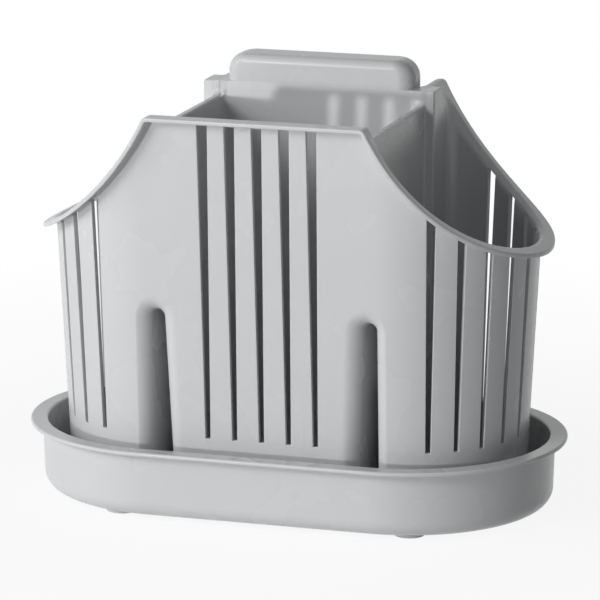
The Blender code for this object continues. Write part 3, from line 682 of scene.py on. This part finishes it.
def partitionCutter(bm, side):
    # lowers a partition's top below the rim and rounds its edges, with a sweep up to the rim at
    # the back. The sweep stays clear of the back wall's face
    bend, sweep, edge = basket["plateauBend"], cups["partitionSweep"], cups["partitionRound"]
    inset = cups["partitionEndInset"]
    back = backFace(rimZ) - inset

    def outline(drop):
        front = [(inset - innerRadius(partitionZ), partitionZ - drop)]
        reach = sweep + min(drop, inset / 2)
        curve = [(back - sweep + y * reach, partitionZ + sweep + z * (sweep + drop))
                 for y, z in arcPoints((0, 0), 1, -quarterTurn, 0, 2 * cups["cornerSteps"])]
        top = [(back - sweep + reach, overZ), (-innerRadius(rimZ) - bend + hair, overZ)]
        rim = [(hair - innerRadius(rimZ) - bend, rimZ + hair),
               (hair - innerRadius(rimZ), rimZ - bend)]
        return front + curve + top + rim

    near, far = middleHalf(partitionZ) + hair, partitionOuter(partitionZ) - hair
    rings = [[(near - cups["backRound"], y, z) for y, z in outline(edge)]]
    for x, rise in arcPoints((near + edge, 0), edge, halfTurn, quarterTurn, cups["cornerSteps"]):
        rings.append([(x, y, z) for y, z in outline(edge - rise)])
    for x, rise in arcPoints((far - edge, 0), edge, quarterTurn, 0, cups["cornerSteps"]):
        rings.append([(x, y, z) for y, z in outline(edge - rise)])
    rings.append([(far + edge, y, z) for y, z in outline(edge)])
    rings = [[(side * x, y, z) for x, y, z in ring] for ring in rings]
    addLoft(bm, rings)


def slotWidth(z):
    return slots["footWidth"] + (z - basketBottom - slots["footHeight"]) * slots["taper"]


def slotLayers():
    # how deep a slot's cutter is at each of its rings, and how far it is spread there
    edge, wall = slots["edgeRound"], basket["wall"]
    curve = [(edge - x, edge - y)
             for x, y in arcPoints((0, 0), edge, 0, quarterTurn, slots["steps"])]
    outside = [(-overrun / 2, edge)] + curve
    return outside + [(wall - depth, spread) for depth, spread in reversed(outside)]


def frontSlots(bm):
    low = basketBottom + slots["footHeight"]
    high = rimZ - basket["flangeThickness"] - slots["toFlange"]
    for i in range(slots["count"]):
        middle = (i - (slots["count"] - 1) / 2) * slots["pitch"]
        rings = []
        for depth, spread in slotLayers():
            ring = []
            for z, hand in ((low - spread, -1), (low - spread, 1),
                            (high + spread, 1), (high + spread, -1)):
                x = middle + hand * (slotWidth(z) / 2 + spread)
                ring.append((x, depth - outerRadius(z), z))
            rings.append(ring)
        addLoft(bm, rings)


def endSlots(bm, side):
    # slots fanned round an end, each up to the flange, which falls with the rim
    low = basketBottom + slots["footHeight"]
    for i in range(slots["endCount"]):
        rank = i % (slots["endCount"] // 2)
        turn = 1 if i < slots["endCount"] // 2 else -1
        angle = turn * math.radians(slots["endFirst"] + rank * slots["endStep"])
        out, across = (math.cos(angle), math.sin(angle)), (-math.sin(angle), math.cos(angle))
        rings = []
        for depth, spread in slotLayers():
            ring = []
            for isTop, hand in ((False, -1), (False, 1), (True, 1), (True, -1)):
                z = low - spread
                for _ in range(settleRounds):
                    reach = outerRadius(z) - depth
                    shift = hand * (slotWidth(z) / 2 + spread)
                    x = basket["wallStraight"] + out[0] * reach + across[0] * shift
                    if isTop:
                        z = rimHeight(x, basket["flangeThickness"] + slots["endToFlange"]) + spread
                ring.append((x, out[1] * reach + across[1] * shift, z))
            rings.append(ring)
        addLoft(bm, mirrored(rings) if side < 0 else rings)


def drainSlots(bm):
    # slots through the floors of the three cups
    floorRadius, margin = innerRadius(basketFloor), slots["drainMargin"]
    runs = []
    for i in range(slots["count"]):
        x = (i - (slots["count"] - 1) / 2) * slots["pitch"]
        runs.append((x, margin - floorRadius, backFace(basketFloor) - margin))
    x = recessHalf() + basket["wall"] + margin
    while x < basket["wallStraight"] + floorRadius - margin:
        half = math.sqrt(floorRadius ** 2 - max(0, x - basket["wallStraight"]) ** 2) - margin
        if half > margin:
            runs += [(x, -half, half), (-x, -half, half)]
        x += slots["pitch"]
    for x, start, end in runs:
        width = slots["drainWidth"]
        corners = [(x - width / 2, start), (x + width / 2, start),
                   (x + width / 2, end), (x - width / 2, end)]
        outline = roundedOutline([(a, b, width * slots["drainRoundShare"]) for a, b in corners],
                                 slots["steps"])
        addLoft(bm, [level(outline, basketBottom - overrun / 2),
                     level(outline, basketFloor + overrun / 4)])


def hoodRings(inset, bottom):
    # rings of the handle hood's outside, or of its hollow with an inset
    front = backFace(rimZ) + hood["setback"]
    top = basketHigh.z - inset
    shoulder = hood["shoulderRound"] - inset
    edge = max(hood["edgeRound"] - inset, hood["leastRound"])
    corner = hood["cornerRound"] - inset
    rings = []
    curve = arcPoints((0, top - shoulder), shoulder, 0, quarterTurn, 2 * hood["steps"])
    for i, (x, z) in enumerate([(0, bottom)] + curve):
        sideInset = 0 if i == 0 else shoulder - x
        rise = max(0, z - (top - edge))
        edgeInset = edge - math.sqrt(max(0, edge ** 2 - rise ** 2))
        half = hood["halfLength"] - inset - sideInset
        near = front + inset + edgeInset
        far = front + hood["depth"] - inset - edgeInset
        cornerHere = max(corner - edgeInset, hood["leastRound"])
        rings.append(level(roundedOutline([(-half, near, cornerHere), (half, near, cornerHere),
                                           (half, far, cornerHere), (-half, far, cornerHere)],
                                          hood["steps"]), z))
    return rings


def makeBasket():
    skirt = rimZ - hood["drop"]
    body = shapeFrom("basketMoulding", basketBody)
    combine(body, shapeFrom("ears", lambda b: rimEars(b, 1), lambda b: rimEars(b, -1)), "UNION")
    combine(body, shapeFrom("recess", recessCutter), "DIFFERENCE")
    combine(body, shapeFrom("notch", notchCutter), "DIFFERENCE")
    print("basket: wall, flange and recess")
    combine(body, shapeFrom("cups", middleCupHollow, lambda b: endCupHollow(b, 1),
                            lambda b: endCupHollow(b, -1)), "DIFFERENCE")
    combine(body, shapeFrom("tunnels", lambda b: tunnelCutter(b, 1),
                            lambda b: tunnelCutter(b, -1)), "DIFFERENCE")
    combine(body, shapeFrom("partitions", lambda b: partitionCutter(b, 1),
                            lambda b: partitionCutter(b, -1)), "DIFFERENCE")
    print("basket: cups, tunnels and partitions")
    combine(body, shapeFrom("slots", frontSlots, lambda b: endSlots(b, 1),
                            lambda b: endSlots(b, -1), drainSlots), "DIFFERENCE")
    combine(body, shapeFrom("hood", lambda b: addLoft(b, hoodRings(0, skirt))), "UNION")
    combine(body, shapeFrom("hoodHollow", lambda b: addLoft(
        b, hoodRings(hood["wall"], skirt - overrun))), "DIFFERENCE")
    shadeSoft(body)
    print("basket: slots and hood,", len(body.data.polygons), "faces")
    return body


basketPiece = makeBasket()
basketPiece.data.materials.append(mouldedPolypropyleneMaterial(
    "injection-moulded polypropylene, basket", mouldedPolypropylene))
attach(basketPiece, "basket")
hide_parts("basket")


# Drip tray and its feet
tray = {
    "wall": 2.0 * mm,
    "lipOverhang": 4.8 * mm,
    "lipThickness": 1.5 * mm,
    "lipRound": 0.7 * mm,
    "lipUnderRound": 0.3 * mm,
    "lipFillet": 0.8 * mm,
    "mouthRound": 0.9 * mm,        # where the lip turns down inside
    "bottomRound": 6.6 * mm,
    "lean": 0.02,
    "endSteps": 90,
    "sideSteps": 4,
    "roundSteps": 10,
    "edgeSteps": 5,
}
foot = {
    "edgeRound": 0.4 * mm,
    "edgeSteps": 5,
    "turnSteps": 64,
}


def makeTray():
    radius = trayHigh.y
    straight = trayHigh.x - radius
    top, bottom, wall = trayHigh.z, trayLow.z, tray["wall"]
    wallRadius = radius - tray["lipOverhang"]
    lipLow = top - tray["lipThickness"]
    fillet, under, lip = tray["lipFillet"], tray["lipUnderRound"], tray["lipRound"]
    mouth, big = tray["mouthRound"], tray["bottomRound"]
    footRing = wallRadius - (lipLow - bottom) * tray["lean"]
    small = big - wall
    steps, edgeSteps = tray["roundSteps"], tray["edgeSteps"]
    profile = arcPoints((footRing - big, bottom + big), big, -quarterTurn, 0, steps)
    profile += arcPoints((wallRadius + fillet, lipLow - fillet), fillet, halfTurn, quarterTurn,
                         edgeSteps)
    profile += arcPoints((radius - under, lipLow + under), under, -quarterTurn, 0, edgeSteps)
    profile += arcPoints((radius - lip, top - lip), lip, 0, quarterTurn, edgeSteps)
    profile += arcPoints((wallRadius - wall + mouth, top - mouth), mouth, quarterTurn, halfTurn,
                         edgeSteps)
    profile += arcPoints((footRing - big, bottom + wall + small), small, 0, -quarterTurn, steps)

    def outline(reach):
        right = arcPoints((straight, 0), reach, -quarterTurn, quarterTurn, tray["endSteps"])
        front = [(x, -reach) for x in evenly(-straight, straight, tray["sideSteps"])[1:-1]]
        half = front + right
        return half + [(-x, -y) for x, y in half]

    piece = shapeFrom("dripTrayMoulding", lambda b: addLathe(b, profile, outline))
    shadeSoft(piece)
    print("drip tray:", len(piece.data.polygons), "faces")
    return piece


def makeFoot(name, node):
    low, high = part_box(node)
    centre = (low + high) / 2
    radius, edge = (high.x - low.x) / 2, foot["edgeRound"]
    profile = arcPoints((radius - edge, low.z + edge), edge, -quarterTurn, 0, foot["edgeSteps"])
    profile.append((radius, high.z))

    def outline(reach):
        return arcPoints(centre.xy, reach, 0, 2 * halfTurn, foot["turnSteps"])[:-1]

    piece = shapeFrom(name, lambda b: addLathe(b, profile, outline))
    shadeSoft(piece)
    return piece


trayPiece = makeTray()
trayPiece.data.materials.append(mouldedPolypropyleneMaterial(
    "injection-moulded polypropylene, tray", mouldedPolypropylene))
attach(trayPiece, "tray")
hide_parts("drip_tray")

footFinish = mouldedPolypropyleneMaterial("injection-moulded polypropylene, feet",
                                          mouldedPolypropylene)
for place, node in (("FrontLeft", "foot_front_left"), ("FrontRight", "foot_front_right"),
                    ("BackLeft", "foot_back_left"), ("BackRight", "foot_back_right")):
    footPiece = makeFoot("foot" + place, node)
    footPiece.data.materials.append(footFinish)
    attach(footPiece, "tray")
    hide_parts(node)
print("feet: four")


# Camera and studio
camera = {
    "azimuth": 17.33,              # degrees, towards the right of the front
    "elevation": 13.11,
    "distance": 1.677,
    "targetX": 0.6 * mm,           # between the middles of basket and tray in the photograph
    "targetZ": 76.6 * mm,
    "lens": 257.4,                 # for a 36 mm wide sensor
    "sensor": 36,
    "shiftX": 0.00205,             # shares of the picture's width
    "shiftY": 0.0075,
    "farClip": 20,
}
studio = {
    "floorColour": "#F4F4F4",
    "floorSize": 8.0,
    "floorGlow": 0.90,             # share of plain white in the floor beside the object
    "fadeStart": 0.14,             # from here out the floor turns into the white backdrop
    "fadeEnd": 0.45,
    "worldColour": "#F4F6F8",
    "worldStrength": 0.10,
}
lamps = {                          # degrees from the front, positive to the right; metres; watts
    # shines through the front slots onto the back wall
    "lowKey": {"azimuth": -19.8, "elevation": 3.4, "distance": 1.6, "size": 0.08, "power": 7.4},
    "mainSoftbox": {"azimuth": -30, "elevation": 25, "distance": 1.6, "size": 0.5, "power": 7.3},
    "leftSoftbox": {"azimuth": -60, "elevation": 20, "distance": 1.7, "size": 1.0, "power": 8.4},
    "rightFill": {"azimuth": 40, "elevation": 40, "distance": 1.7, "size": 1.0, "power": 1.2},
}


def direction(azimuth, elevation):
    a, e = math.radians(azimuth), math.radians(elevation)
    return Vector((math.sin(a) * math.cos(e), -math.cos(a) * math.cos(e), math.sin(e)))


def makeCamera():
    data = bpy.data.cameras.new("camera")
    data.lens, data.sensor_width = camera["lens"], camera["sensor"]
    data.shift_x, data.shift_y = camera["shiftX"], camera["shiftY"]
    data.clip_end = camera["farClip"]
    obj = bpy.data.objects.new("camera", data)
    view = direction(camera["azimuth"], camera["elevation"])
    obj.location = Vector((camera["targetX"], 0, camera["targetZ"])) + view * camera["distance"]
    obj.rotation_euler = (-view).to_track_quat("-Z", "Y").to_euler()
    bpy.context.scene.collection.objects.link(obj)
    bpy.context.scene.camera = obj


def makeLamp(name, lamp):
    data = bpy.data.lights.new(name, "AREA")
    data.shape, data.size, data.energy = "DISK", lamp["size"], lamp["power"]
    obj = bpy.data.objects.new(name, data)
    towards = direction(lamp["azimuth"], lamp["elevation"])
    obj.location = Vector((0, 0, camera["targetZ"])) + towards * lamp["distance"]
    obj.rotation_euler = (-towards).to_track_quat("-Z", "Y").to_euler()
    bpy.context.scene.collection.objects.link(obj)


def seenDirectly(tree):
    # 1 where the camera sees this, straight or through a mirror or glass, and 0 for other light
    rays = addNode(tree, "ShaderNodeLightPath")
    total = rays.outputs["Is Camera Ray"]
    for kind in ("Is Glossy Ray", "Is Transmission Ray"):
        node = addNode(tree, "ShaderNodeMath", {"operation": "MAXIMUM"})
        tree.links.new(total, node.inputs[0])
        tree.links.new(rays.outputs[kind], node.inputs[1])
        total = node.outputs["Value"]
    return total


def mixInto(tree, factor, first, second, outputKind):
    mix = addNode(tree, "ShaderNodeMixShader", (), {"Fac": factor})
    tree.links.new(first, mix.inputs[1])
    tree.links.new(second, mix.inputs[2])
    addNode(tree, outputKind, (), {"Surface": mix.outputs["Shader"]})


def whitePaper():
    # matt paper that keeps a soft shadow beside the object and is plain white further out
    material = bpy.data.materials.new("matt white paper")
    material.use_nodes = True
    tree = material.node_tree
    tree.nodes.clear()
    place = addNode(tree, "ShaderNodeTexCoord").outputs["Object"]
    reach = addNode(tree, "ShaderNodeVectorMath", {"operation": "LENGTH"}, {"Vector": place})
    share = addNode(tree, "ShaderNodeMapRange",
                    {"From Min": studio["fadeStart"], "From Max": studio["fadeEnd"],
                     "To Min": studio["floorGlow"], "To Max": 1.0},
                    {"Value": reach.outputs["Value"]})
    factor = addNode(tree, "ShaderNodeMath", {"operation": "MULTIPLY"})
    tree.links.new(seenDirectly(tree), factor.inputs[0])
    tree.links.new(share.outputs["Result"], factor.inputs[1])
    paper = addNode(tree, "ShaderNodeBsdfDiffuse", {"Color": linearColour(studio["floorColour"])})
    white = addNode(tree, "ShaderNodeEmission", {"Strength": 1.0})
    mixInto(tree, factor.outputs["Value"], paper.outputs["BSDF"], white.outputs["Emission"],
            "ShaderNodeOutputMaterial")
    return material


def makeStudio():
    half = studio["floorSize"] / 2
    bm = bmesh.new()
    corners = ((-half, -half), (half, -half), (half, half), (-half, half))
    bm.faces.new([bm.verts.new((x, y, 0)) for x, y in corners])
    floor = makeObject("floor", bm)
    floor.data.materials.append(whitePaper())

    world = bpy.data.worlds.new("studio")
    bpy.context.scene.world = world
    world.use_nodes = True
    tree = world.node_tree
    tree.nodes.clear()
    ambient = addNode(tree, "ShaderNodeBackground",
                      {"Color": linearColour(studio["worldColour"]),
                       "Strength": studio["worldStrength"]})
    backdrop = addNode(tree, "ShaderNodeBackground", {"Color": (1, 1, 1, 1), "Strength": 1.0})
    mixInto(tree, seenDirectly(tree), ambient.outputs["Background"], backdrop.outputs["Background"],
            "ShaderNodeOutputWorld")
    for name, lamp in lamps.items():
        makeLamp(name, lamp)
    bpy.context.scene.view_settings.view_transform = "Standard"


makeCamera()
makeStudio()
print("camera and studio")
